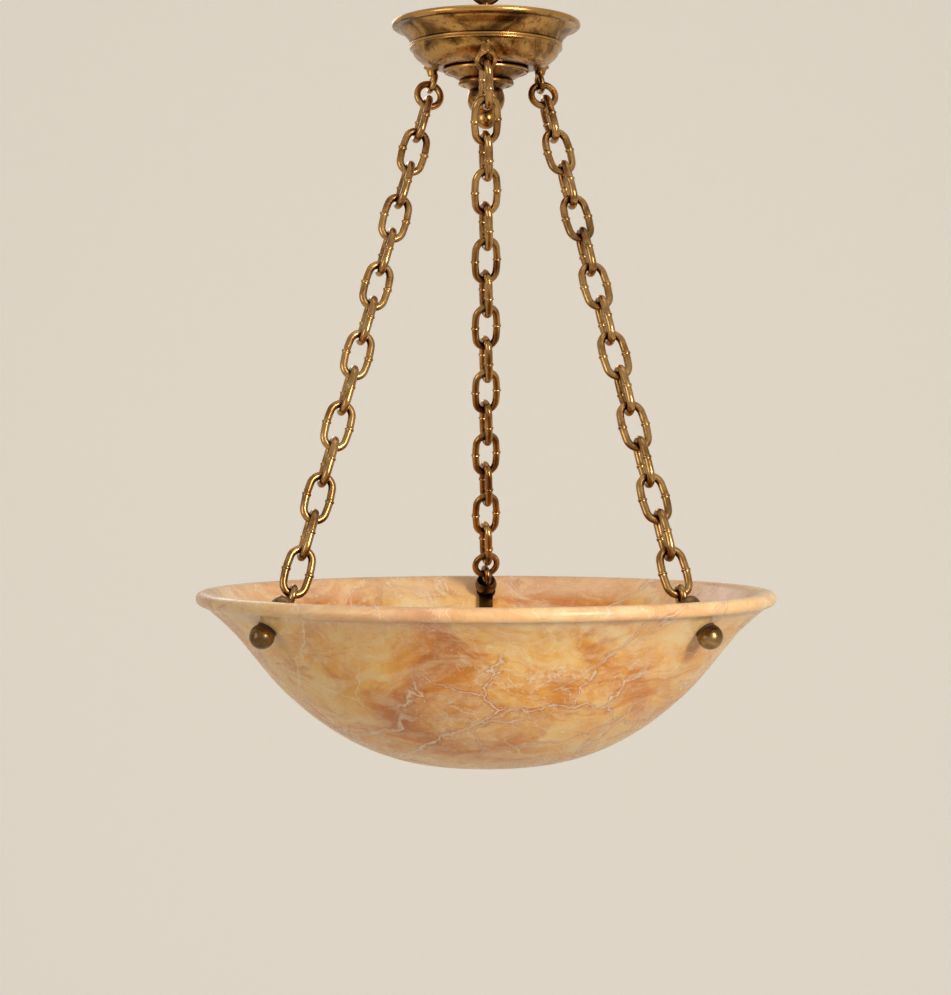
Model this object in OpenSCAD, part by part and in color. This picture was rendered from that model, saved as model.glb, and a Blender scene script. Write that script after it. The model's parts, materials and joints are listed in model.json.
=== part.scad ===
// Alabaster bowl pendant: a stone bowl hung by three brass chains from a spun brass ceiling plate.
// Millimetres. The origin is the point inside the top link where a ceiling hook carries the light.
// The front of the light faces -Y.

/* [Bowl] */
// Outer radius of the rim
rim_r = 230; // [215:1:245]
// Depth from the middle of the rim to the underside
bowl_depth = 133; // [120:1:145]
// Wall of the stone
bowl_wall = 10; // [8:0.5:12]
// Radius of the rounded lip
lip_r = 5.5; // [5:0.5:7]
// Depth of the drilled holes below the middle of the rim, on the outer face
hole_drop = 16; // [14:1:20]
// Angle of the front holes below the X axis
front_hole_deg = 40; // [34:1:46]

/* [Ceiling plate] */
// Height of the plate's rim above the bowl's rim
plate_height = 454; // [430:1:480]
// Outer radius of the plate
plate_r = 75; // [72:0.5:78]
// Sheet of the spun shell
sheet = 1.6; // [1.2:0.1:2]
// Radius of the rolled rim
roll_r = 2.6; // [2.2:0.1:3]
// Radius of the centre rod
rod_r = 5; // [4:0.5:6]
// Thickness of the closing disc
disc_t = 2; // [1.5:0.5:3]
// Radius of the finial's ball
ball_r = 14.9; // [12:0.1:16]
// Radius of the finial's tip
tip_r = 8.5; // [7:0.5:9.5]

/* [Chains] */
// Wire of the links
wire = 6; // [5:0.5:6.5]
// Outer width of a link
link_w = 24.5; // [22:0.5:27]
// Wire of the round rings
ring_wire = 5.5; // [5:0.5:6]
// Mean radius of the round rings
ring_r = 9.75; // [9:0.25:11]
// Links in each front chain
front_links = 14; // [13:1:15]
// Links in the back chain
back_links = 15; // [14:1:16]
// Wire of the large suspension links
hang_wire = 5.2; // [4.6:0.2:6]
// Outer width of the suspension links
hang_w = 27.6; // [25:0.2:30]
// Clear length inside the suspension links
hang_inner = 36; // [32:1:42]
// Stand-out of the weld bead on each side of a link
bead = 0.5; // [0.3:0.1:0.8]

/* [Fixings] */
// Radius of the bolts through the stone
bolt_r = 3; // [2.5:0.25:3.5]
// Clearance round the bolts in the stone
bolt_clear = 1; // [0.5:0.25:1.5]
// Washer against the stone
washer_t = 1.5; // [1:0.25:2]
// Radius of the washers
washer_r = 8; // [7:0.5:9]
// Radius of the round collars and nuts
knob_r = 9.5; // [8.5:0.25:10]
// Length of the collars
collar_len = 13; // [11:0.5:15]
// Mean radius of the bolt's eye
eye_r = 7; // [6.5:0.25:8]
// Wire of the bolt's eye
eye_wire = 5; // [4.5:0.25:5.5]
// Mean radius of the eye on a lug
lug_eye_r = 6.8; // [6.6:0.1:7.5]
// Wire of the eye on a lug
lug_wire = 4.4; // [4:0.2:4.8]
// Distance of the front lug in from the plate's edge
front_lug_in = 22; // [21.5:0.5:23]
// Distance of the side lugs in from the plate's edge
side_lug_in = 25; // [24:0.5:27]
// Depth of the front lug's eye below the plate's rim
front_lug_drop = 36; // [35:0.5:38]
// Depth of the side lugs' eyes below the plate's rim
side_lug_drop = 41.5; // [41:0.5:44]

/* [Lamp cluster] */
// Width of the carrying arms
arm_w = 12; // [10:1:16]
// Thickness of the carrying arms
arm_t = 2; // [1.5:0.5:3]
// Depth of the hub's top below the middle of the rim
hub_drop = 85; // [80:1:88]
// Radius of the hub
hub_r = 34; // [30:1:38]
// Height of the hub cup
hub_h = 18; // [16:1:19]
// Radius of the lampholders
holder_r = 12; // [11:0.5:13]
// Length of the lampholders
holder_len = 30; // [26:1:34]
// Rise of the lampholders from level
holder_tilt = 24; // [20:1:28]
// Radius of the lamp globes
globe_r = 20; // [17:0.5:22]

/* [Hidden] */
$fn = 48;
// Clearance between links, and between pieces that seat on each other
gap = 0.2;
fit = 0.1;
ARMS = ["left", "right", "back"];
LAMPS = ["one", "two", "three"];

brass = "#a8823f";
dark_brass = "#5f4d34";
stone = "#dfb98a";

// Vectors
function unit(v) = v / norm(v);
function flat_to(v, axis) = unit(v - (v * axis) * axis);
// A point of a smooth curve through four points
function curve_at(a, b, c, d, t) =
    0.5 * (2 * b + (c - a) * t + (2 * a - 5 * b + 4 * c - d) * t * t + (3 * b - a - 3 * c + d) * t * t * t);
function curve(p, steps) = [
    for (i = [1 : len(p) - 3], s = [0 : steps - 1]) curve_at(p[i - 1], p[i], p[i + 1], p[i + 2], s / steps),
    p[len(p) - 2]
];
// The curve moved sideways by a distance, to its left
function beside(p, d) = [
    for (i = [0 : len(p) - 1])
        let (t = unit(p[min(i + 1, len(p) - 1)] - p[max(i - 1, 0)]))
        [max(0, p[i][0] - t[1] * d), p[i][1] + t[0] * d]
];
function turned(p) = [for (i = [len(p) - 1 : -1 : 0]) p[i]];

// Puts the local X, Y and Z axes on three directions at a place
module placed(at, x, y, z) {
    multmatrix([
        [x[0], y[0], z[0], at[0]],
        [x[1], y[1], z[1], at[1]],
        [x[2], y[2], z[2], at[2]],
        [0, 0, 0, 1]
    ]) children();
}

// Heights above the middle of the bowl's rim
swivel_low = plate_height + 18.5;
swivel_high = swivel_low + hang_inner + hang_wire;
top_low = swivel_high - hang_wire - gap;
top_high = top_low + hang_inner + hang_wire;
hang_h = top_high - hang_wire / 2;

// Bowl
// Outer face from the middle of the underside to below the lip
slope = rim_r / 230;
deep = bowl_depth / 133;
outer_points = [
    [-62 * slope, -129.5 * deep], [0, -133 * deep], [62 * slope, -129.5 * deep], [113 * slope, -110 * deep],
    [159 * slope, -75 * deep], [199 * slope, -28 * deep], [219.5 * slope, -8.5 * deep],
    [226 * slope, -2 * deep]
];
outer_face = curve(outer_points, 8);
inner_face = beside(outer_face, bowl_wall);
lip_at = [rim_r - lip_r, 0];
inner_lip_at = [rim_r - lip_r - bowl_wall * 0.62, 0];

// The bolts run square to the wall. Their place and direction come from the outer face.
function face_r(z, i = 0) =
    outer_face[i + 1][1] >= z
        ? let (k = (z - outer_face[i][1]) / (outer_face[i + 1][1] - outer_face[i][1]))
            [outer_face[i][0] + k * (outer_face[i + 1][0] - outer_face[i][0]),
             unit(outer_face[i + 1] - outer_face[i])]
        : face_r(z, i + 1);
hole = face_r(-hole_drop);
hole_r = hole[0];
hole_run = hole[1];

function bolt_deg(side) = side == "left" ? 180 + front_hole_deg : side == "right" ? -front_hole_deg : 90;
function radial(deg) = [cos(deg), sin(deg), 0];
function around(deg) = [-sin(deg), cos(deg), 0];
function bolt_in(deg) = -hole_run[1] * radial(deg) + [0, 0, hole_run[0]];
function bolt_down(deg) = -hole_run[0] * radial(deg) - [0, 0, hole_run[1]];
function bolt_foot(deg) = hole_r * radial(deg) - [0, 0, hole_drop];

// Stations along a bolt, from the outer face inwards
// The washers are flat and the stone is curved, so they stand off by this at their middle
seat = 0.4;
tab_at = bowl_wall + seat + washer_t + gap;
collar_at = tab_at + arm_t + gap;
nut_seat = seat + washer_t + gap;
eye_at = collar_at + collar_len + eye_r - eye_wire / 2;
function eye_centre(side) = bolt_foot(bolt_deg(side)) + eye_at * bolt_in(bolt_deg(side));

// Ceiling plate, as radius and height from the middle of the rolled rim
roll_at = [plate_r - roll_r, 0];
shell_points = [
    [plate_r - 1, 4], [plate_r - 4, -1.5], [plate_r - 12, -8.5], [plate_r - 16, -15], [plate_r - 16.5, -20],
    [plate_r - 20, -26], [plate_r - 27, -31.5], [plate_r - 36, -33.5], [33, -33.8], [20, -33.8]
];
shell_face = curve(shell_points, 5);
shell_back = beside(shell_face, -sheet);
belt_at = [plate_r - 16.4, -17.5];
belt_r = 2.1;
neck_seat = 34;
neck_top = -33.8 - fit;
neck_points = [
    [40, -32], [neck_seat, neck_top - 2], [30, -38], [25, -41], [21, -43.5], [18, -46]
];
neck_face = curve(neck_points, 4);
neck_foot = -51;
neck_band = [20, -45.5];
neck_band_wire = 4.4;
finial_ball = -58;
finial_tip = -73.5;
rod_top = 12;
rod_low = finial_ball - 4;

// Lugs hang straight down from the shell, on shanks held by nuts inside it
function shell_z(r, i = 0) =
    shell_face[i + 1][0] <= r
        ? let (k = (r - shell_face[i][0]) / (shell_face[i + 1][0] - shell_face[i][0]))
            shell_face[i][1] + k * (shell_face[i + 1][1] - shell_face[i][1])
        : shell_z(r, i + 1);
nut_r = 3.6;
nut_h = 3;
shank_r = 2;
function lug_deg(side) = side == "left" ? 150 : side == "right" ? 30 : -90;
function lug_r(side) = plate_r - (side == "back" ? front_lug_in : side_lug_in);
function eye_z(side) = side == "back" ? -front_lug_drop : -side_lug_drop;
function nut_z(side) = shell_z(lug_r(side) + nut_r) + sheet + 1.2;
function lug_top(side) = lug_r(side) * radial(lug_deg(side)) + [0, 0, plate_height];
function lug_centre(side) = lug_top(side) + [0, 0, eye_z(side)];

// Chains. Each runs straight from its lug's eye to its bolt's eye.
function run(side) = eye_centre(side) - lug_centre(side);
function pull(side) = unit(run(side));
function facing(side) = flat_to([0.26, -1, 0], pull(side));
function across(side) = cross(pull(side), facing(side));
lug_hole = lug_eye_r - lug_wire / 2;
eye_hole = eye_r - eye_wire / 2;
ring_step = 2 * ring_r - ring_wire / 2 - wire / 2 - gap;
// Distance from the lug's eye to the first link, and from the last link to the bolt's eye
front_start = lug_hole - ring_wire / 2 - gap + ring_step;
front_end = eye_hole - wire / 2 - gap;
back_start = lug_hole - wire / 2 - gap;
back_end = eye_hole - ring_wire / 2 - gap + ring_step;
function start(side) = side == "back" ? back_start : front_start;
function end(side) = side == "back" ? back_end : front_end;
function links(side) = side == "back" ? back_links : front_links;
// Centre distance of the two bows of a link, so that the chain just spans its run
function bows(side) =
    (norm(run(side)) - start(side) - end(side) + (links(side) - 1) * (wire + gap)) / links(side);

// Lamp cluster
arm_in = 14;
function lamp_deg(name) = name == "one" ? 25 : name == "two" ? 155 : 270;
function lamp_axis(name) = cos(holder_tilt) * radial(lamp_deg(name)) + [0, 0, sin(holder_tilt)];
function lamp_side(name) = around(lamp_deg(name));
holder_out = hub_r - 2;
holder_z = -hub_drop - hub_h / 2 - 4;

module from_hook() {
    translate([0, 0, -hang_h]) children();
}

// A closed loop in the local XZ plane, whose first bow's crown is the origin and which runs along +Z
module loop(mean_r, span, d) {
    translate([0, 0, mean_r]) rotate([-90, 0, 0]) half_ring(mean_r, d);
    translate([0, 0, span - mean_r]) rotate([90, 0, 0]) half_ring(mean_r, d);
    for (side = [-1, 1]) {
        translate([side * mean_r, 0, mean_r]) cylinder(d = d, h = span - 2 * mean_r);
    }
}

module half_ring(mean_r, d) {
    rotate_extrude(angle = 180) translate([mean_r, 0]) circle(d = d);
}

module torus(mean_r, d) {
    rotate_extrude() translate([mean_r, 0]) circle(d = d);
}

module chain_link(span) {
    mean_r = (link_w - wire) / 2;
    loop(mean_r, span, wire);
    for (side = [-1, 1]) {
        translate([side * mean_r, 0, span / 2 - 0.8]) cylinder(d = wire + 2 * bead, h = 1.6);
    }
}

module chain(side) {
    color(brass) from_hook() {
        span = bows(side);
        step = span - wire - gap;
        for (i = [0 : links(side) - 1]) {
            at = lug_centre(side) + (start(side) + i * step) * pull(side);
            if (i % 2 == 0) placed(at, facing(side), -across(side), pull(side)) chain_link(span);
            else placed(at, across(side), facing(side), pull(side)) chain_link(span);
        }
    }
}

// The round rings face the front: one under each side lug, and one over the back bolt's eye
module ring(side) {
    front_place = lug_hole - ring_wire / 2 - gap + ring_r;
    back_place = norm(run(side)) - (eye_hole - ring_wire / 2 - gap + ring_r);
    along = side == "back" ? back_place : front_place;
    color(brass) from_hook()
        placed(lug_centre(side) + along * pull(side), across(side), -pull(side), facing(side))
            torus(ring_r, ring_wire);
}

// The named side is that of the chain the lug carries: the front lug carries the back chain
module lug(side) {
    normal = side == "back" ? facing(side) : across(side);
    tip_z = eye_z(side) + lug_eye_r - 1;
    color(brass) from_hook() {
        difference() {
            translate(lug_top(side) + [0, 0, tip_z]) rotate([0, 0, lug_deg(side)]) cylinder(r1 = 3.6, r2 = 6, h = 12);
            translate([0, 0, plate_height]) shell_envelope();
            translate(lug_centre(side)) sphere(r = lug_eye_r);
        }
        difference() {
            translate(lug_top(side) + [0, 0, tip_z + 1]) rotate([0, 0, lug_deg(side)])
                cylinder(r = shank_r, h = nut_z(side) + nut_h - tip_z);
            translate(lug_centre(side)) sphere(r = lug_eye_r);
        }
        placed(lug_centre(side), -pull(side), cross(normal, -pull(side)), normal)
            torus(lug_eye_r, lug_wire);
    }
}

// The shell as a filled form, a little proud
module shell_envelope() {
    rotate_extrude() polygon(concat([[0, 4]], beside(shell_face, fit), [[0, -33.8]]));
    translate([0, 0, belt_at[1]]) torus(belt_at[0], 2 * (belt_r + fit));
}

module lug_nuts() {
    color(dark_brass) from_hook() for (side = ARMS) {
        translate(lug_top(side) + [0, 0, nut_z(side)]) difference() {
            cylinder(r = nut_r, h = nut_h, $fn = 6);
            translate([0, 0, -1]) cylinder(r = shank_r + fit, h = nut_h + 2);
        }
    }
}

module top_link() {
    color(brass) from_hook() translate([0, 0, top_low]) rotate([0, 0, 90])
        loop((hang_w - hang_wire) / 2, hang_inner + hang_wire, hang_wire);
}

module swivel_link() {
    color(brass) from_hook() translate([0, 0, swivel_low])
        loop((hang_w - hang_wire) / 2, hang_inner + hang_wire, hang_wire);
}

top_eye_r = 9;
boss_h = 4;
module top_eye() {
    eye_z = swivel_low + hang_wire + gap - top_eye_r;
    disc_top = plate_height + 1 + disc_t;
    color(brass) from_hook() difference() {
        union() {
            translate([0, 0, eye_z]) rotate([0, 90, 0]) torus(top_eye_r, hang_wire);
            translate([0, 0, disc_top + gap]) cylinder(r = 13, h = 2);
            translate([0, 0, disc_top + gap + 2]) cylinder(r1 = 10, r2 = 5, h = boss_h);
            translate([0, 0, disc_top - 8]) cylinder(r = rod_r - 1.2, h = 9);
        }
        translate([0, 0, eye_z]) rotate([0, 90, 0]) cylinder(r = top_eye_r - hang_wire / 2, h = 30, center = true);
    }
}

module top_disc() {
    color(dark_brass) from_hook() translate([0, 0, plate_height + 1]) difference() {
        cylinder(r = plate_r - 2 * roll_r, h = disc_t);
        translate([0, 0, -1]) cylinder(r = rod_r - 1.2 + fit, h = disc_t + 2);
    }
}

module rod_nut() {
    color(dark_brass) from_hook() translate([0, 0, plate_height - 4]) difference() {
        cylinder(r = 10, h = 5 - gap, $fn = 6);
        translate([0, 0, -1]) cylinder(r = rod_r - 1.2 + fit, h = 7);
    }
}

module centre_rod() {
    color(dark_brass) from_hook() translate([0, 0, plate_height + rod_low])
        difference() {
            cylinder(r = rod_r, h = -rod_low - 7.5);
            translate([0, 0, 12]) cylinder(r = rod_r - 1.5, h = -rod_low);
        }
    color(dark_brass) from_hook() translate([0, 0, plate_height - 7.5]) difference() {
        cylinder(r = 8, h = 3.5 - gap);
        translate([0, 0, -1]) cylinder(r = rod_r - 1.2 + fit, h = 6);
    }
}

module canopy_shell() {
    color(brass) from_hook() translate([0, 0, plate_height]) difference() {
        union() {
            rotate_extrude() polygon(concat(shell_face, turned(shell_back)));
            translate(roll_at[1] * [0, 0, 1]) torus(roll_at[0], 2 * roll_r);
            translate([0, 0, belt_at[1]]) torus(belt_at[0], 2 * belt_r);
        }
        translate([0, 0, -40]) cylinder(r = rod_r + fit, h = 20);
        translate([0, 0, 1 - fit]) cylinder(r = plate_r - 2 * roll_r + fit, h = 10);
        for (side = ARMS) {
            translate(lug_top(side) - [0, 0, plate_height + 40]) cylinder(r = shank_r + fit, h = 40);
        }
    }
}

module canopy_neck() {
    color(brass) from_hook() translate([0, 0, plate_height]) difference() {
        union() {
            rotate_extrude() polygon(concat(
                [[0, neck_top], [neck_seat - 2, neck_top]], neck_face, [[0, neck_face[len(neck_face) - 1][1]]]));
            translate([0, 0, neck_top - 2]) torus(neck_seat - 2, 4);
            translate([0, 0, neck_band[1]]) torus(neck_band[0], neck_band_wire);
            translate([0, 0, neck_foot]) cylinder(r1 = 13, r2 = neck_band[0], h = 6);
        }
        translate([0, 0, -60]) cylinder(r = rod_r + fit, h = 40);
        translate([0, 0, neck_top]) cylinder(r = 60, h = 10);
    }
}

module finial() {
    color(brass) from_hook() translate([0, 0, plate_height]) difference() {
        union() {
            translate([0, 0, finial_ball]) sphere(r = ball_r);
            translate([0, 0, finial_tip + 2]) cylinder(r1 = 5, r2 = 9, h = 6);
            translate([0, 0, finial_tip]) sphere(r = tip_r);
        }
        translate([0, 0, neck_foot - gap]) cylinder(r = 30, h = 20);
        translate([0, 0, rod_low - gap]) cylinder(r = rod_r + fit, h = 30);
    }
}

module terminal_block() {
    color("#e9e4d8") from_hook() translate([26, 0, plate_height - 1.5]) difference() {
        translate([-14, -9, -12]) cube([28, 18, 14 - gap + 0.5]);
        for (y = [-4.5, 4.5]) translate([-20, y, -6]) rotate([0, 90, 0]) cylinder(r = 2, h = 40);
    }
}

module bowl() {
    color(stone) from_hook() difference() {
        union() {
            rotate_extrude() polygon(concat(
                outer_face, [[rim_r - lip_r, -lip_r], [rim_r - lip_r, lip_r], [inner_lip_at[0], lip_r]],
                [for (i = [len(inner_face) - 4 : -1 : 0]) inner_face[i]]));
            torus(lip_at[0], 2 * lip_r);
        }
        for (side = ARMS) on_bolt(side) translate([0, 0, -20])
            cylinder(r = bolt_r + bolt_clear, h = bowl_wall + 40);
    }
}

// Local Z runs along the bolt from the stone's outer face inwards, and local X down the wall
module on_bolt(side) {
    deg = bolt_deg(side);
    placed(bolt_foot(deg), bolt_down(deg), cross(bolt_in(deg), bolt_down(deg)), bolt_in(deg)) children();
}

module eye_bolt(side) {
    color(brass) from_hook() {
        on_bolt(side) difference() {
            translate([0, 0, -washer_t - 8]) cylinder(r = bolt_r, h = washer_t + 8 + eye_at - eye_r / 2);
            translate([0, 0, eye_at]) sphere(r = eye_r);
        }
        placed(eye_centre(side), pull(side), facing(side), -across(side)) torus(eye_r, eye_wire);
    }
}

module collar(side) {
    color(dark_brass) from_hook() on_bolt(side) translate([0, 0, collar_at]) difference() {
        translate([0, 0, collar_len / 2]) rotate_extrude() intersection() {
            circle(r = knob_r);
            translate([bolt_r + fit, -collar_len / 2]) square([knob_r, collar_len]);
        }
        translate([0, 0, eye_at - collar_at]) sphere(r = eye_r + eye_wire / 2 + fit);
    }
}

module dome_nut(side) {
    color(dark_brass) from_hook() on_bolt(side) difference() {
        translate([0, 0, -nut_seat - knob_r * 0.55]) sphere(r = knob_r);
        translate([0, 0, -nut_seat]) cylinder(r = 20, h = 20);
        translate([0, 0, -washer_t - 8.2]) cylinder(r = bolt_r + fit, h = 20);
    }
}

module washers(z) {
    color("#3a3430") from_hook() for (side = ARMS) on_bolt(side) translate([0, 0, z]) difference() {
        cylinder(r = washer_r, h = washer_t);
        translate([0, 0, -1]) cylinder(r = bolt_r + fit, h = washer_t + 2);
    }
}

module inner_washers() {
    washers(tab_at - washer_t - 0.05);
}

module outer_washers() {
    washers(-washer_t - seat);
}

// A carrying arm: a tab under the collar, a slope down the wall and a level run to the hub
module arm(side) {
    deg = bolt_deg(side);
    slope_len = (hub_drop - hole_drop + hole_run[0] * tab_at) / hole_run[1];
    color(dark_brass) from_hook() difference() {
        union() {
            on_bolt(side) translate([0, 0, tab_at]) {
                cylinder(r = knob_r - 1, h = arm_t);
                translate([0, -arm_w / 2, 0]) cube([slope_len, arm_w, arm_t]);
            }
            rotate([0, 0, deg]) translate([arm_in, -arm_w / 2, -hub_drop]) cube([arm_run(), arm_w, arm_t]);
        }
        on_bolt(side) translate([0, 0, tab_at - 1]) cylinder(r = bolt_r + fit, h = arm_t + 2);
        rotate([0, 0, deg]) translate([hub_r - 7, 0, -hub_drop - 1]) cylinder(r = 2 + fit, h = arm_t + 2);
    }
}

function arm_run() =
    hole_r - hole_run[1] * tab_at
    - hole_run[0] * (hub_drop - hole_drop + hole_run[0] * tab_at) / hole_run[1] - arm_in + 3;

module hub_cup() {
    color(dark_brass) from_hook() translate([0, 0, -hub_drop - gap / 2 - hub_h]) difference() {
        cylinder(r = hub_r, h = hub_h);
        translate([0, 0, 2]) cylinder(r = hub_r - 12, h = hub_h);
        for (name = LAMPS) lamp_bore(name);
        for (side = ARMS) rotate([0, 0, bolt_deg(side)]) translate([hub_r - 7, 0, hub_h - 8])
            cylinder(r = 2 + fit, h = 10);
    }
}

module lamp_bore(name) {
    on_lamp(name, hub_drop + gap / 2 + hub_h) translate([0, 0, -10]) cylinder(r = 4 + fit, h = 30);
    on_lamp(name, hub_drop + gap / 2 + hub_h) cylinder(r = holder_r + fit, h = 30);
}

// Local Z runs out along the lamp's axis from the hub
module on_lamp(name, lift = 0) {
    placed(holder_out * radial(lamp_deg(name)) + [0, 0, holder_z + lift], lamp_side(name),
        cross(lamp_axis(name), lamp_side(name)), lamp_axis(name)) children();
}

module hub_cover() {
    color(dark_brass) from_hook() translate([0, 0, -hub_drop + arm_t + gap / 2]) difference() {
        union() {
            cylinder(r = hub_r, h = 2);
            translate([0, 0, 2]) cylinder(r1 = 12, r2 = 5, h = 6);
        }
        for (side = ARMS) rotate([0, 0, bolt_deg(side)]) translate([hub_r - 7, 0, -1])
            cylinder(r = 2 + fit, h = 10);
    }
}

module hub_screws() {
    color("#c8b27a") from_hook() for (side = ARMS) rotate([0, 0, bolt_deg(side)])
        translate([hub_r - 7, 0, -hub_drop + arm_t + 2 + gap]) {
            translate([0, 0, -11]) cylinder(r = 2, h = 11);
            cylinder(r1 = 3.6, r2 = 2.6, h = 2);
        }
}

cap_r = 6.8;
cap_len = 22;
module lampholder(name) {
    color("#2f2a26") from_hook() on_lamp(name) difference() {
        union() {
            translate([0, 0, fit]) cylinder(r = holder_r, h = holder_len);
            translate([0, 0, -8]) cylinder(r = 4, h = 9);
        }
        translate([0, 0, holder_len - cap_len - 3]) cylinder(r = cap_r + fit, h = cap_len + 10);
    }
}

module lamp_cap(name) {
    color("silver") from_hook() on_lamp(name) translate([0, 0, holder_len - cap_len])
        cylinder(r = cap_r, h = cap_len);
}

module lamp_globe(name) {
    color("#f6f0e2") from_hook() on_lamp(name) translate([0, 0, holder_len + gap]) {
        cylinder(r1 = cap_r - 0.2, r2 = 14, h = 14);
        translate([0, 0, 14 + globe_r * 0.5]) sphere(r = globe_r);
    }
}

bowl();
top_link();
swivel_link();
top_eye();
top_disc();
rod_nut();
centre_rod();
canopy_shell();
canopy_neck();
finial();
terminal_block();
lug_nuts();
inner_washers();
outer_washers();
hub_cup();
hub_cover();
hub_screws();
lug("left");  // lug_left
lug("right");  // lug_right
lug("back");  // lug_front
for (side = ARMS) {
    chain(side);
    ring(side);
    eye_bolt(side);
    collar(side);
    dome_nut(side);
    arm(side);
}
for (name = LAMPS) {
    lampholder(name);
    lamp_cap(name);
    lamp_globe(name);
}
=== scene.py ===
import json
import math

import bpy
import numpy as np
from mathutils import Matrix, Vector


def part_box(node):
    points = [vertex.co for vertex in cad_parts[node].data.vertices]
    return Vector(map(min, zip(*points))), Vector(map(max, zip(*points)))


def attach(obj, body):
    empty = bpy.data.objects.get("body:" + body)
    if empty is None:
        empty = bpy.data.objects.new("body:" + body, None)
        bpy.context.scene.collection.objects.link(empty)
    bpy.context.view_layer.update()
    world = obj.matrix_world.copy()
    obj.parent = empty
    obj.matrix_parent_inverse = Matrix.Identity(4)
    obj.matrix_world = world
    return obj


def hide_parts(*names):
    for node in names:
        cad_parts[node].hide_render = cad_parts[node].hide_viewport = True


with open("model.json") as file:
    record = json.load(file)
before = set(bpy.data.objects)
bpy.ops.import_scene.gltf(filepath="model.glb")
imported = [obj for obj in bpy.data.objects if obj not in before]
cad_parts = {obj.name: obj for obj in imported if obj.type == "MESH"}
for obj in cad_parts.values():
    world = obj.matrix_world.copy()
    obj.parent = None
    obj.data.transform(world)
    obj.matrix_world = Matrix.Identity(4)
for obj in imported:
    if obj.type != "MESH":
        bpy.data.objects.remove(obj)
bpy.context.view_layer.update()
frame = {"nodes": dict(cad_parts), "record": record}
nodes = frame["nodes"]

# Lengths are in metres, but outlines are lists of millimetres
MM = 0.001
# A distance that runs a colour ramp is in decimetres
DECIMETRES = 10

# The bowl: its lip's radius, its wall and its outer radius, as in the source, and its lip's height
LIP_R = 5.5 * MM
WALL = 10 * MM
RIM_R = 230 * MM
RIM_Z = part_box("bowl")[1].z - LIP_R
# The bowl's outer side: radius and height from the rim. The first and last point only steer the curve.
OUTER_POINTS = [
    (-62, -129.5), (0, -133), (62, -129.5), (113, -110), (159, -75), (199, -28), (219.5, -8.5), (226, -2),
]
OUTER_STEPS = 14
# The lip starts this angle past the wall's end, and rounds into the inner wall over these points:
# distance in from the lip's middle, and height
LIP_START = 0.5
LIP_STEPS = 22
LIP_INSIDE = [(3, 5.45), (6, 5.1), (8.5, 3.8), (11, 1.4)]
# Points at the end of the inner wall that the lip takes the place of
LIP_COVERS = 5

# The ceiling plate's rolled rim: its radius, the radius it runs at, and its height
ROLL_R = 2.6 * MM
ROLL_AT = 72.4 * MM
PLATE_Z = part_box("canopy_shell")[1].z - ROLL_R
# The part of a full turn that the roll covers, in degrees
ROLL_ARC = (130, -105)
ROLL_STEPS = 26
# The plate's two sides: radius and height from the rolled rim
PLATE_OUTSIDE = [
    (70.9, -2.9), (70.1, -2.7), (69.4, -2.9), (68.9, -3.7), (67.4, -5.2), (64.7, -7.5), (62.4, -9.9),
    (61.0, -12.3), (60.5, -13.9), (60.1, -14.4), (59.6, -14.6), (59.6, -14.9), (60.3, -15.2), (60.7, -15.8),
    (60.3, -16.5), (59.8, -16.8), (59.8, -17.0), (60.4, -17.4), (60.8, -18.2), (60.4, -19.1), (59.5, -19.6),
    (58.7, -19.8), (58.6, -20.2), (58.2, -21.5), (57.2, -23.6), (55.2, -26.1), (51.8, -28.9), (48, -31.2),
    (43.5, -32.8), (39, -33.5), (36, -33.7), (33, -33.8),
]
PLATE_INSIDE = [
    (33, -32.2), (39, -31.9), (48, -29.6), (54, -25), (57, -20), (57.5, -15), (62, -8), (69.6, -1.2),
]
# Bands of the plate painted bright, a painted highlight on its rolled rim and belts: height and half width
PAINTED_HIGHLIGHT_BANDS = [
    (PLATE_Z + 0.5 * MM, 2.6 * MM), (PLATE_Z - 17 * MM, 1.8 * MM), (PLATE_Z - 36 * MM, 1.6 * MM),
]
# Bosses round the lugs: radius and height from the rolled rim
FRONT_BOSS = [
    (2.4, -21.6), (4.2, -22), (4.9, -23.4), (5.0, -25.4), (5.6, -27.4), (6.5, -29.4), (6.3, -30.6),
    (2.4, -31),
]
SIDE_BOSS = [
    (2.4, -25.5), (6.2, -27.4), (6.9, -28.6), (6.4, -29.8), (4.8, -30.8), (4.0, -32.6), (3.4, -34.6),
    (2.4, -35),
]

# Chain links: the wire's thickness, and how far the sides bow out
WIRE = 6 * MM
BOW = 0.5 * MM
# Stand-out of the weld on a link's side, as built and as shown, with the burr's and its groove's half widths
BEAD = 0.5 * MM
WELD = 0.85 * MM
BURR = 0.8 * MM
GROOVE = 0.22 * MM
GROOVE_SHARE = 0.5
# Places along half a side, from the bend to the weld, and points in the bend at each end
SIDE_SPOTS = [0.95, 0.7, 0.45, 0.28, 0.2, 0.15, 0.11, 0.07, 0.035, 0]
BEND_POINTS = 16

# Points round the bowl and the plate, a boss and the wire
LATHE_TURNS = 240
BOSS_TURNS = 48
WIRE_TURNS = 18

# Long veins in the stone: a direction across each and a place on it
LONG_VEINS = [
    ((-0.10, 0.05, 0.99), (0, 0, RIM_Z - 0.088)),
    ((0.776, 0, -0.63), (0.123, 0, RIM_Z - 0.065)),
    ((0.506, 0, -0.863), (0.011, 0, RIM_Z - 0.072)),
    ((-0.45, 0.2, -0.87), (-0.13, 0, RIM_Z - 0.070)),
]
# Rust patches in the stone: place and radius
RUST_PATCHES = [
    ((-0.005, -0.19, RIM_Z - 0.064), 0.060),
    ((0.085, -0.17, RIM_Z - 0.052), 0.034),
    ((-0.14, -0.12, RIM_Z - 0.09), 0.050),
    ((0.06, 0.18, RIM_Z - 0.058), 0.070),
    ((-0.17, 0.08, RIM_Z - 0.04), 0.05),
]

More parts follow.
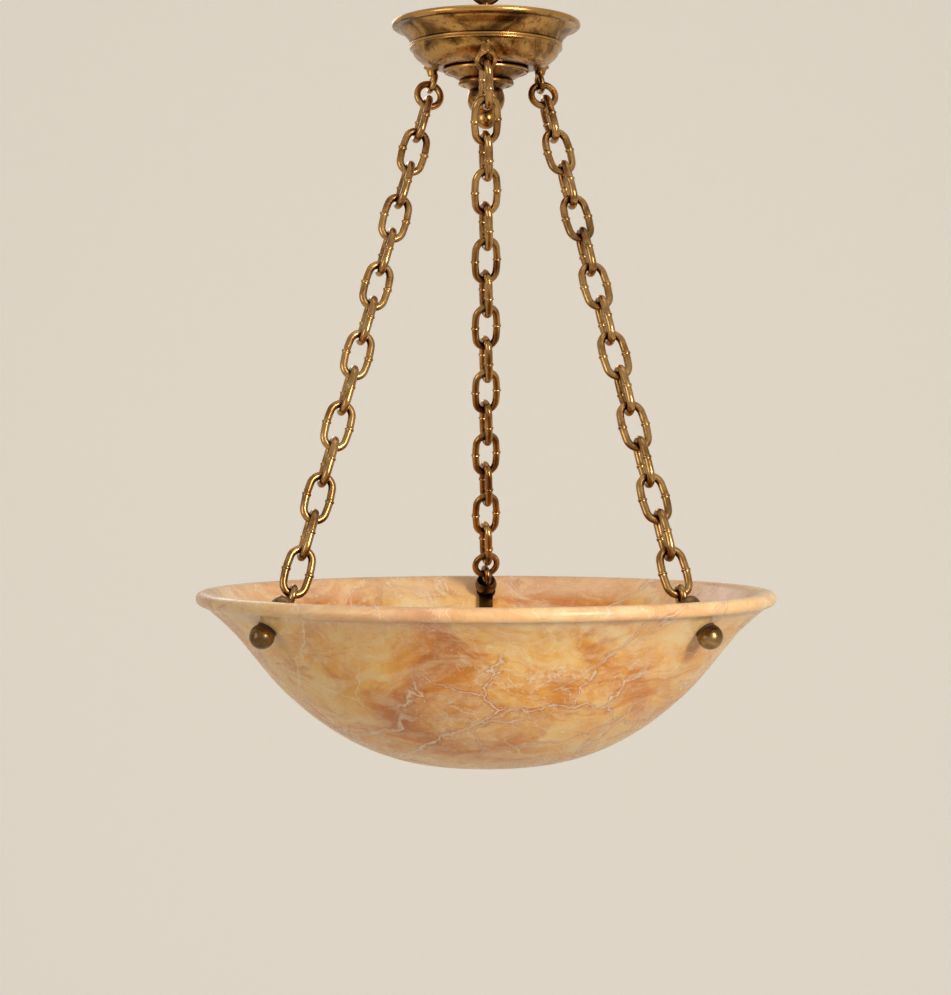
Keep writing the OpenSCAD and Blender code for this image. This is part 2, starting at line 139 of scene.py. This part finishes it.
# The backdrop: how far the floor lies under the rim, where the wall stands, the bend between them, how far
# both reach, the wall's height, and how much it glows where it is seen or mirrored
FLOOR_DROP = 1.4
WALL_Y = 4.0
FLOOR_BEND = 1.5
BEND_STEPS = 24
FLOOR_REACH = 30.0
WALL_HEIGHT = 8
BACKDROP_GLOW = 0.55
# The room's strength as light, and where it is seen or mirrored
ROOM_LIGHT = 0.28
ROOM_SHOWN = 0.75
# Lamps: name, place, size, power and colour. All point a little above the rim.
LAMP_TARGET = (0, 0, RIM_Z + 0.1)
LAMPS = [
    ("key", (1.2, -1.7, 0.05), (0.5, 0.9), 39, (1, 0.96, 0.90)),
    ("fill", (-1.7, -1.3, -0.1), (0.8, 1.2), 9.5, (1, 0.97, 0.92)),
    ("back", (-0.9, 1.9, 0.5), (0.8, 0.8), 4.5, (1, 1, 1)),
    ("top", (0.2, -0.2, 1.1), (1.2, 1.2), 3, (1, 1, 1)),
]
# The camera: sensor and lens in millimetres, place, and its tilt down and turn to the left in degrees
SENSOR = 36
LENS = 83.6
CAMERA_PLACE = (0, -1.842, RIM_Z + 0.109)
CAMERA_DOWN = 0.93
CAMERA_LEFT = 0.26


def linear(red, green, blue):
    """A colour given as 0 to 255 on screen, as linear values."""
    def channel(value):
        value /= 255
        return value / 12.92 if value <= 0.04045 else ((value + 0.055) / 1.055) ** 2.4
    return (channel(red), channel(green), channel(blue), 1)


STONE = {
    "amber": linear(200, 118, 42),
    "orange": linear(226, 146, 56),
    "honey": linear(243, 177, 82),
    "straw": linear(251, 201, 122),
    "cream": linear(253, 223, 164),
    "orange cloud": linear(214, 132, 52),
    "milk": linear(248, 228, 198),
    "pale streak": linear(255, 230, 186),
    "dark streak": linear(206, 116, 44),
    "rust": linear(146, 80, 46),
    # Colour of the painted highlight on the lip
    "rim": linear(243, 208, 172),
    "vein edge": linear(182, 84, 26),
    "vein": linear(252, 230, 196),
    "long vein edge": linear(176, 82, 28),
    "long vein": linear(252, 230, 198),
    "small vein": linear(252, 234, 206),
    "wisp": linear(255, 236, 204),
    "fleck": linear(253, 242, 224),
}
# Near-black colour for grime and painted shade in corners
GRIME_AND_PAINTED_SHADE = linear(34, 22, 12)
BACKDROP = linear(228, 221, 210)
ROOM = linear(238, 230, 216)
WHITE = (1, 1, 1, 1)


class Nodes:
    """A short way to add and link shader nodes."""

    def __init__(self, tree):
        self.tree = tree

    def join(self, source, socket):
        if isinstance(source, bpy.types.NodeSocket):
            self.tree.links.new(source, socket)
        else:
            socket.default_value = source

    def add(self, kind, sockets=(), **settings):
        """A new node with its settings, and a value or a link for each socket that is named or numbered."""
        node = self.tree.nodes.new("ShaderNode" + kind)
        for name, value in settings.items():
            setattr(node, name, value)
        for key, source in dict(sockets).items():
            self.join(source, node.inputs[key])
        return node

    def math(self, operation, *sources):
        return self.add("Math", enumerate(sources), operation=operation).outputs["Value"]

    def times(self, a, b):
        return self.math("MULTIPLY", a, b)

    def rays(self, *names):
        """1 for the named kinds of ray, 0 for all others."""
        path = self.add("LightPath")
        seen, *others = [path.outputs[f"Is {name} Ray"] for name in names]
        for other in others:
            seen = self.math("MAXIMUM", seen, other)
        return seen


class Surface(Nodes):
    """The nodes of one material."""

    def __init__(self, name):
        self.material = bpy.data.materials.new(name)
        self.material.use_nodes = True
        super().__init__(self.material.node_tree)
        self.shader = self.tree.nodes["Principled BSDF"]
        self.coords = self.add("TexCoord").outputs["Object"]

    def noise(self, scale, detail=4, roughness=0.5, distortion=0, at=None, output="Fac"):
        node = self.add("TexNoise", {
            "Vector": at or self.coords, "Scale": scale, "Detail": detail, "Roughness": roughness,
            "Distortion": distortion})
        return node.outputs[output]

    def cells(self, scale, at):
        """Distance to the nearest edge between cells."""
        node = self.add("TexVoronoi", {"Vector": at, "Scale": scale}, feature="DISTANCE_TO_EDGE")
        return node.outputs["Distance"]

    def placed(self, location=(0, 0, 0), rotation=(0, 0, 0), scale=(1, 1, 1), at=None):
        node = self.add("Mapping", {
            "Vector": at or self.coords, "Location": location, "Scale": scale,
            "Rotation": [math.radians(a) for a in rotation]})
        return node.outputs["Vector"]

    def warped(self, scale, amount, at=None):
        """The coordinates pushed about by a soft noise, by half the amount on average."""
        push = self.noise(scale, detail=5, at=at, output="Color")
        sockets = {0: push, 1: (amount, amount, amount), 2: at or self.coords}
        return self.add("VectorMath", sockets, operation="MULTIPLY_ADD").outputs["Vector"]

    def ramp(self, source, stops):
        """Colours or levels along a value: stops are (place, colour or level)."""
        node = self.add("ValToRGB", {"Fac": source})
        items = node.color_ramp.elements
        while len(items) < len(stops):
            items.new(0.5)
        for item, (place, value) in zip(items, stops):
            item.position = place
            item.color = value if isinstance(value, tuple) else (value, value, value, 1)
        return node.outputs["Color"]

    def spread(self, source, low, high):
        """From low to high over the middle of a noise's values."""
        return self.ramp(source, [(0.3, low), (0.7, high)])

    def mix(self, share, a, b):
        # The colour sockets come after those for numbers and vectors
        return self.add("Mix", {0: share, 6: a, 7: b}, data_type="RGBA").outputs[2]

    def near(self, centre, radius, at):
        """1 at a point, falling to 0 at the radius."""
        away = self.add("VectorMath", {0: at, 1: centre}, operation="DISTANCE").outputs["Value"]
        sockets = {"Value": away, "From Min": 0, "From Max": radius, "To Min": 1, "To Max": 0}
        return self.add("MapRange", sockets, interpolation_type="SMOOTHSTEP").outputs["Result"]

    def sheet(self, at, normal, place):
        """Distance from a plane through a place, in decimetres."""
        along = self.add("VectorMath", {0: at, 1: normal}, operation="DOT_PRODUCT").outputs["Value"]
        away = self.math("SUBTRACT", along, Vector(normal).dot(Vector(place)))
        return self.times(self.math("ABSOLUTE", away), DECIMETRES)

    def bump(self, height, distance, strength):
        node = self.add("Bump", {"Height": height, "Distance": distance, "Strength": strength})
        self.join(node.outputs["Normal"], self.shader.inputs["Normal"])

    def open_air(self, distance):
        """1 in the open, towards 0 in a tight corner."""
        return self.add("AmbientOcclusion", {"Distance": distance}, samples=8).outputs["AO"]

    def finish(self, colour, roughness, **values):
        self.join(colour, self.shader.inputs["Base Color"])
        self.join(roughness, self.shader.inputs["Roughness"])
        for name, value in values.items():
            self.shader.inputs[name.replace("_", " ")].default_value = value
        return self.material


def veins(n, at, scale, width, fade_scale, fade):
    """Thin lines along the edges of cells, that fade in and out."""
    line = n.ramp(n.cells(scale, at), [(0, 1.0), (width * 0.35, 0.85), (width, 0.0)])
    low, high = fade
    shown = n.ramp(n.noise(fade_scale, detail=3, roughness=0.6), [(low, 0.0), (high, 1.0)])
    return n.times(line, shown)


def long_vein(n, body, distance, fade):
    """A long crack through the stone: a pale line with a red-brown edge."""
    edge = n.ramp(distance, [(0, 1.0), (0.012, 0.8), (0.030, 0.0)])
    line = n.ramp(distance, [(0, 1.0), (0.006, 1.0), (0.010, 0.0)])
    body = n.mix(n.times(n.times(edge, fade), 0.75), body, STONE["long vein edge"])
    return n.mix(n.times(line, fade), body, STONE["long vein"])


def stone_clouds(n, swirl):
    """Soft clouds from amber to cream, with orange and milky ones at a smaller scale."""
    cloud = n.noise(6.5, detail=8, roughness=0.58, distortion=0.9, at=swirl)
    body = n.ramp(cloud, [
        (0.34, STONE["amber"]), (0.42, STONE["orange"]), (0.49, STONE["honey"]), (0.56, STONE["straw"]),
        (0.68, STONE["cream"])])
    orange = n.noise(14, detail=6, roughness=0.6, distortion=1.2, at=n.placed(location=(3, 1, 2), at=swirl))
    body = n.mix(n.ramp(orange, [(0.50, 0.0), (0.66, 0.85)]), body, STONE["orange cloud"])
    milk = n.noise(11, detail=7, roughness=0.65, distortion=1.0, at=n.placed(location=(7, 4, 9), at=swirl))
    return n.mix(n.ramp(milk, [(0.56, 0.0), (0.74, 0.5)]), body, STONE["milk"])


def stone_streaks(n, body):
    """Fine drawn-out streaks that run down and across the wall."""
    drawn = n.placed(rotation=(24, -38, 20), scale=(1, 1, 3.6), at=n.warped(7, 0.09))
    pale = n.ramp(n.noise(22, detail=9, roughness=0.72, distortion=1.0, at=drawn), [(0.44, 0.0), (0.58, 1.0)])
    body = n.mix(n.times(pale, 0.40), body, STONE["pale streak"])
    dark = n.noise(18, detail=7, roughness=0.62, distortion=1.0, at=n.placed(location=(5, 5, 5), at=drawn))
    return n.mix(n.ramp(dark, [(0.52, 0.0), (0.68, 0.62)]), body, STONE["dark streak"])


def stone_patches(n, body, swirl):
    """Rust patches, and a painted highlight that pales the lip and upper wall."""
    broken = n.noise(24, detail=9, roughness=0.75, distortion=0.8, at=swirl)
    broken = n.ramp(broken, [(0.42, 0.0), (0.58, 1.0)])
    for place, size in RUST_PATCHES:
        patch = n.near(place, size, n.warped(16, 0.035))
        body = n.mix(n.times(n.times(patch, broken), 0.68), body, STONE["rust"])
    # Painted highlight: the lip and the top of the wall blended towards a pale cream
    below_lip = n.sheet(n.warped(20, 0.01), (0, 0, 1), (0, 0, RIM_Z + 5 * MM))
    return n.mix(n.ramp(below_lip, [(0.06, 0.45), (0.14, 0.0)]), body, STONE["rim"])


def stone_veins(n, body, swirl):
    """Branching, long and small veins, and thin wisps. Also gives the pale lines, for the relief."""
    vein_at = n.warped(13, 0.045, n.placed(location=(0.37, 0.02, 0.11), scale=(1, 1, 1.25)))
    fine_at = n.warped(70, 0.014, vein_at)
    halo = veins(n, fine_at, scale=7.5, width=0.018, fade_scale=7, fade=(0.47, 0.60))
    body = n.mix(n.times(halo, 0.7), body, STONE["vein edge"])
    pale = veins(n, fine_at, scale=7.5, width=0.0055, fade_scale=7, fade=(0.47, 0.60))
    body = n.mix(n.times(pale, 0.95), body, STONE["vein"])
    coarse, fine = 0.048, 0.014
    long_at = n.warped(75, fine, n.warped(9, coarse))
    # The planes move with the two warps' average push
    shift = Vector((1, 1, 1)) * (coarse + fine) / 2
    fade = n.noise(9, detail=3, roughness=0.6, at=n.placed(location=(4, 4, 4)))
    fade = n.ramp(fade, [(0.40, 0.1), (0.56, 0.8)])
    for normal, place in LONG_VEINS:
        body = long_vein(n, body, n.sheet(long_at, normal, Vector(place) + shift), fade)
    small_at = n.warped(34, 0.03, n.placed(location=(1.2, 0.5, 0.3)))
    small = veins(n, small_at, scale=15, width=0.010, fade_scale=9, fade=(0.46, 0.60))
    body = n.mix(n.times(small, 0.7), body, STONE["small vein"])
    wisp = n.noise(17, detail=6, roughness=0.62, distortion=1.6, at=swirl)
    wisp = n.ramp(wisp, [(0.485, 0.0), (0.5, 0.8), (0.515, 0.0)])
    wisp_fade = n.ramp(n.noise(8, detail=3, at=n.placed(location=(2, 6, 1))), [(0.44, 0.0), (0.60, 0.8)])
    return n.mix(n.times(wisp, wisp_fade), body, STONE["wisp"]), pale


def alabaster():
    n = Surface("alabaster_marbled")
    swirl = n.warped(5.5, 0.16)
    body = stone_streaks(n, stone_clouds(n, swirl))
    body, pale = stone_veins(n, stone_patches(n, body, swirl), swirl)
    crystals = n.ramp(n.noise(420, detail=2), [(0.66, 0.0), (0.74, 0.5)])
    body = n.mix(crystals, body, STONE["fleck"])
    rough = n.spread(n.noise(55, detail=5, roughness=0.6), 0.22, 0.36)
    n.bump(n.mix(pale, n.noise(160, detail=5, roughness=0.6), WHITE), distance=0.6 * MM, strength=0.25)
    n.shader.inputs["Subsurface Radius"].default_value = (1.0, 0.55, 0.28)
    return n.finish(body, rough, Subsurface_Weight=0.12, Subsurface_Scale=4 * MM, Specular_IOR_Level=0.34)


def aged_metal(name, bright, middle, dark, wear, rough, corner=6 * MM, specks=0.75, highlight_bands=()):
    """Brass with a brown patina in patches, and grime with painted shade in its corners. Painted highlight
    bands are (height, half width).
    """
    n = Surface(name)
    low, high = wear
    patch = n.noise(26, detail=7, roughness=0.62, distortion=1.3)
    body = n.ramp(patch, [(low, dark), ((low + high) / 2, middle), (high, bright)])
    spun = n.noise(18, detail=6, roughness=0.7, distortion=0.3, at=n.placed(scale=(1, 1, 22)))
    body = n.mix(n.ramp(spun, [(0.35, 0.0), (0.65, 0.35)]), body, middle)
    speck = n.noise(300, detail=5, roughness=0.7, distortion=0.4)
    body = n.mix(n.ramp(speck, [(0.57, 0.0), (0.66, specks)]), body, dark)
    # Painted shade: the grime colour laid into corners, grooves and where links meet, from ambient occlusion
    corner_shade = n.ramp(n.open_air(corner), [(0.35, 1.0), (0.80, 0.0)])
    body = n.mix(n.times(corner_shade, 0.9), body, GRIME_AND_PAINTED_SHADE)
    # Painted highlight: bright brass laid in bands at the given heights
    for height, half in highlight_bands:
        edge = half * DECIMETRES
        away = n.sheet(n.coords, (0, 0, 1), (0, 0, height))
        body = n.mix(n.ramp(away, [(0.6 * edge, 0.8), (edge, 0.0)]), body, bright)
    n.bump(n.noise(150, roughness=0.6), distance=0.3 * MM, strength=0.3)
    return n.finish(body, n.spread(n.noise(70, detail=6, roughness=0.6), *rough), Metallic=1.0)


def plate_brass():
    return aged_metal(
        "plate_brass", bright=linear(190, 146, 84), middle=linear(134, 96, 50), dark=linear(60, 40, 22),
        wear=(0.38, 0.54), rough=(0.18, 0.34), corner=3 * MM, highlight_bands=PAINTED_HIGHLIGHT_BANDS)


def chain_brass():
    return aged_metal(
        "chain_brass", bright=linear(184, 146, 94), middle=linear(146, 107, 62), dark=linear(82, 57, 32),
        wear=(0.30, 0.56), rough=(0.18, 0.28), corner=5 * MM, specks=0.25)


def dark_brass():
    return aged_metal(
        "dark_bronzed_brass", bright=linear(166, 132, 86), middle=linear(124, 95, 60),
        dark=linear(60, 45, 28), wear=(0.34, 0.62), rough=(0.22, 0.36))


def ceramic():
    n = Surface("glazed_ceramic")
    body = n.spread(n.noise(60, detail=5), linear(226, 220, 204), linear(240, 236, 226))
    n.bump(n.noise(300), distance=0.2 * MM, strength=0.3)
    return n.finish(body, n.spread(n.noise(90), 0.25, 0.45), Coat_Weight=0.3)


def felt():
    n = Surface("dark_felt")
    body = n.spread(n.noise(500, detail=6, roughness=0.7), linear(38, 30, 24), linear(66, 54, 44))
    n.bump(n.noise(900, detail=6, roughness=0.7), distance=0.4 * MM, strength=0.8)
    return n.finish(body, 0.95, Sheen_Weight=0.3)


def steel():
    n = Surface("plated_steel")
    brushed = n.noise(90, detail=6, roughness=0.6, at=n.placed(scale=(1, 1, 14)))
    body = n.spread(brushed, linear(168, 165, 160), linear(206, 203, 196))
    n.bump(brushed, distance=0.2 * MM, strength=0.3)
    return n.finish(body, n.spread(brushed, 0.24, 0.38), Metallic=1.0)


def holder():
    n = Surface("moulded_holder")
    body = n.spread(n.noise(120, detail=5), linear(30, 27, 24), linear(48, 43, 38))
    n.bump(n.noise(700), distance=0.2 * MM, strength=0.5)
    return n.finish(body, n.spread(n.noise(150), 0.42, 0.58))


def opal_glass():
    n = Surface("opal_glass")
    body = n.spread(n.noise(40), linear(236, 228, 208), linear(246, 240, 226))
    n.bump(n.noise(25, detail=2), distance=0.3 * MM, strength=0.15)
    rough = n.spread(n.noise(80, detail=3), 0.12, 0.2)
    return n.finish(body, rough, Subsurface_Weight=0.4, Subsurface_Scale=10 * MM, Coat_Weight=0.4)


def dress(materials):
    """Gives each CAD node the material of its slot."""
    for part in frame["record"]["subparts"]:
        mesh = nodes[part["node"]].data
        mesh.materials.clear()
        mesh.materials.append(materials[part["material_slot"]])
        for face in mesh.polygons:
            face.material_index = 0


def add_object(name, data):
    obj = bpy.data.objects.new(name, data)
    bpy.context.scene.collection.objects.link(obj)
    return obj


def add_piece(name, points, faces, material, slot, *replaced):
    """A smooth piece that rides with the light, and stands for the nodes it replaces."""
    mesh = bpy.data.meshes.new(name)
    mesh.from_pydata([tuple(p) for p in points], [], faces)
    mesh.validate()
    mesh.shade_smooth()
    mesh.materials.append(material)
    obj = add_object(name, mesh)
    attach(obj, "light")
    if replaced:
        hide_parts(*replaced)


def curve(points, steps):
    """A smooth curve through the points between the first and the last."""
    line = []
    for a, b, c, d in zip(points, points[1:], points[2:], points[3:]):
        a, b, c, d = (np.array(p, float) for p in (a, b, c, d))
        for t in np.arange(steps) / steps:
            line.append(0.5 * (2 * b + (c - a) * t + (2 * a - 5 * b + 4 * c - d) * t ** 2
                               + (3 * b - a - 3 * c + d) * t ** 3))
    return line + [np.array(points[-2], float)]


def beside(line, distance):
    """The line moved sideways, to its left, but not past the axis."""
    moved = []
    for i, p in enumerate(line):
        run = line[min(i + 1, len(line) - 1)] - line[max(i - 1, 0)]
        run = run / np.linalg.norm(run)
        moved.append(np.array([max(0, p[0] - run[1] * distance), p[1] + run[0] * distance]))
    return moved


def lathe(outline, height, turns=LATHE_TURNS):
    """Points and faces of an outline (radius, height) turned about Z. Ends on the axis become one point."""
    points, faces, rings = [], [], []
    for r, z in outline:
        if r < 1e-6:
            rings.append([len(points)])
            points.append((0, 0, z + height))
            continue
        rings.append(range(len(points), len(points) + turns))
        for k in range(turns):
            a = 2 * math.pi * k / turns
            points.append((r * math.cos(a), r * math.sin(a), z + height))
    for low, high in zip(rings, rings[1:]):
        for k in range(turns):
            j = (k + 1) % turns
            corners = [low[k % len(low)], low[j % len(low)], high[j % len(high)], high[k % len(high)]]
            faces.append(list(dict.fromkeys(corners)))
    return points, faces


def bowl(material):
    """The turned stone with its rounded lip."""
    outer = [p * MM for p in curve(OUTER_POINTS, OUTER_STEPS)]
    inner = beside(outer, WALL)[:-LIP_COVERS]
    centre = RIM_R - LIP_R
    start = math.atan2(outer[-1][1], outer[-1][0] - centre) + LIP_START
    turn = np.linspace(start, math.pi / 2, LIP_STEPS)
    lip = [(centre + LIP_R * math.cos(a), LIP_R * math.sin(a)) for a in turn]
    rounding = [(centre - x * MM, z * MM) for x, z in LIP_INSIDE]
    outline = [tuple(p) for p in outer] + lip + rounding + [tuple(p) for p in reversed(inner)]
    points, faces = lathe(outline, RIM_Z)
    add_piece("bowl_stone", points, faces, material, "alabaster", "bowl")


def canopy(material):
    """The spun plate with its rolled rim, its doubled belt and the grooves beside them."""
    turn = np.radians(np.linspace(*ROLL_ARC, ROLL_STEPS))
    roll = [(ROLL_AT + ROLL_R * math.cos(a), ROLL_R * math.sin(a)) for a in turn]
    sides = [(r * MM, z * MM) for r, z in PLATE_OUTSIDE + PLATE_INSIDE]
    points, faces = lathe(roll + sides + roll[:1], PLATE_Z)
    add_piece("canopy_spun", points, faces, material, "brass", "canopy_shell")


def lug_boss(side, outline, material):
    """A turned boss round a lug's shank, where it leaves the shell."""
    low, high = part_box(f"lug_{side}")
    middle = (low + high) / 2
    points, faces = lathe([(r * MM, z * MM) for r, z in outline], PLATE_Z, BOSS_TURNS)
    points = [(x + middle.x, y + middle.y, z) for x, y, z in points]
    add_piece(f"lug_{side}_boss", points, faces, material, "brass")


def islands(node):
    """The separate solids of a CAD node, as arrays of points."""
    mesh = nodes[node].data
    points = np.array([v.co for v in mesh.vertices])
    keys = {}
    same = [keys.setdefault(tuple(np.round(p, 6)), i) for i, p in enumerate(points)]
    parent = list(range(len(points)))

    def root(i):
        while parent[i] != i:
            parent[i] = parent[parent[i]]
            i = parent[i]
        return i

    for i, j in enumerate(same):
        parent[root(i)] = root(j)
    for edge in mesh.edges:
        parent[root(edge.vertices[0])] = root(edge.vertices[1])
    groups = {}
    for i in range(len(points)):
        groups.setdefault(root(i), []).append(i)
    return [points[g] for g in groups.values()]


def link_frame(points):
    """Centre, axes and outer sizes of a link: along, across and through it."""
    middle = (points.max(0) + points.min(0)) / 2
    away = points - points.mean(0)
    _, axes = np.linalg.eigh(away.T @ away)
    axes = axes[:, ::-1].T
    spread = (points - middle) @ axes.T
    low, high = spread.min(0), spread.max(0)
    return middle + ((low + high) / 2) @ axes, axes, high - low


def link_line(length, width):
    """Centreline of a link: place along, place across, and distance from the weld on a side."""
    straight = (length - width) / 2
    radius = width / 2 - BOW
    side = [-s for s in SIDE_SPOTS] + SIDE_SPOTS[-2::-1]
    line = []
    for sign in (1, -1):
        for s in side:
            swell = BOW * math.cos(s * math.pi / 2)
            line.append((sign * s * straight, -sign * (radius + swell), s * straight))
        for a in np.linspace(-math.pi / 2, math.pi / 2, BEND_POINTS)[1:-1]:
            line.append((sign * (straight + width / 2 * math.cos(a)), sign * radius * math.sin(a), None))
    return line


def burr(offset):
    """How far the weld stands out at a distance from its middle, with a groove where the wire's ends meet."""
    return WELD * (math.exp(-(offset / BURR) ** 2) - GROOVE_SHARE * math.exp(-(offset / GROOVE) ** 2))


def add_link(points, faces, solid):
    """Adds a link of wire in the place of a CAD link."""
    centre, axes, size = link_frame(solid)
    line = link_line(size[0] - WIRE, size[1] - WIRE - 2 * BEAD)
    spots = [centre + along * axes[0] + across * axes[1] for along, across, _ in line]
    first = len(points)
    for i, (spot, (_, _, offset)) in enumerate(zip(spots, line)):
        run = spots[(i + 1) % len(spots)] - spots[i - 1]
        out = np.cross(axes[2], run / np.linalg.norm(run))
        radius = WIRE / 2
        if offset is not None:
            radius += burr(offset)
        for k in range(WIRE_TURNS):
            a = 2 * math.pi * k / WIRE_TURNS
            points.append(spot + radius * (math.cos(a) * out + math.sin(a) * axes[2]))
    for i in range(len(spots)):
        ring = first + i * WIRE_TURNS
        after = first + (i + 1) % len(spots) * WIRE_TURNS
        for k in range(WIRE_TURNS):
            m = (k + 1) % WIRE_TURNS
            faces.append([ring + k, after + k, after + m, ring + m])


def chain(side, material):
    points, faces = [], []
    for solid in islands(f"chain_{side}"):
        add_link(points, faces, solid)
    add_piece(f"chain_{side}_links", points, faces, material, "chain_brass", f"chain_{side}")


def backdrop():
    """A pale floor that turns up into a pale wall behind the object."""
    n = Surface("pale_backdrop")
    glow = n.times(n.rays("Camera", "Glossy"), BACKDROP_GLOW)
    n.join(glow, n.shader.inputs["Emission Strength"])
    material = n.finish(BACKDROP, 0.9, Emission_Color=BACKDROP)
    floor_z = RIM_Z - FLOOR_DROP
    profile = [(-FLOOR_REACH, floor_z)]
    for a in np.linspace(0, math.pi / 2, BEND_STEPS):
        profile.append((WALL_Y - FLOOR_BEND * (1 - math.sin(a)), floor_z + FLOOR_BEND * (1 - math.cos(a))))
    profile.append((WALL_Y, floor_z + WALL_HEIGHT))
    points = [(x, y, z) for y, z in profile for x in (-FLOOR_REACH, FLOOR_REACH)]
    faces = [[2 * i, 2 * i + 1, 2 * i + 3, 2 * i + 2] for i in range(len(profile) - 1)]
    mesh = bpy.data.meshes.new("backdrop")
    mesh.from_pydata(points, [], faces)
    mesh.shade_smooth()
    mesh.materials.append(material)
    add_object("backdrop", mesh)


def lamp(name, place, size, power, colour):
    data = bpy.data.lights.new(name, "AREA")
    data.shape = "RECTANGLE"
    data.size, data.size_y = size
    data.energy = power
    data.color = colour
    obj = add_object(name, data)
    obj.location = place
    obj.rotation_euler = (Vector(LAMP_TARGET) - Vector(place)).to_track_quat("-Z", "Y").to_euler()


def room():
    """Soft light from all round, and a brighter room where it is seen or mirrored."""
    world = bpy.data.worlds.new("pale_room")
    bpy.context.scene.world = world
    world.use_nodes = True
    n = Nodes(world.node_tree)
    shown = n.rays("Camera", "Glossy", "Transmission")
    level = n.add("MapRange", {"Value": shown, "To Min": ROOM_LIGHT, "To Max": ROOM_SHOWN})
    background = n.tree.nodes["Background"]
    n.join(level.outputs["Result"], background.inputs["Strength"])
    n.join(ROOM, background.inputs["Color"])


def camera():
    data = bpy.data.cameras.new("view")
    data.sensor_width = SENSOR
    data.lens = LENS
    obj = add_object("view", data)
    obj.location = CAMERA_PLACE
    obj.rotation_euler = (math.radians(90 - CAMERA_DOWN), 0, math.radians(CAMERA_LEFT))
    bpy.context.scene.camera = obj


stone = alabaster()
spun_brass = plate_brass()
links_brass = chain_brass()
dress({
    "alabaster": stone, "brass": spun_brass, "chain_brass": links_brass, "aged_brass": dark_brass(),
    "ceramic": ceramic(), "felt": felt(), "steel": steel(), "holder": holder(), "lamp_glass": opal_glass(),
})
bowl(stone)
canopy(spun_brass)
lug_boss("front", FRONT_BOSS, spun_brass)
lug_boss("left", SIDE_BOSS, spun_brass)
lug_boss("right", SIDE_BOSS, spun_brass)
for chain_side in ("left", "right", "back"):
    chain(chain_side, links_brass)
backdrop()
room()
for settings in LAMPS:
    lamp(*settings)
camera()
bpy.context.scene.view_settings.view_transform = "Standard"
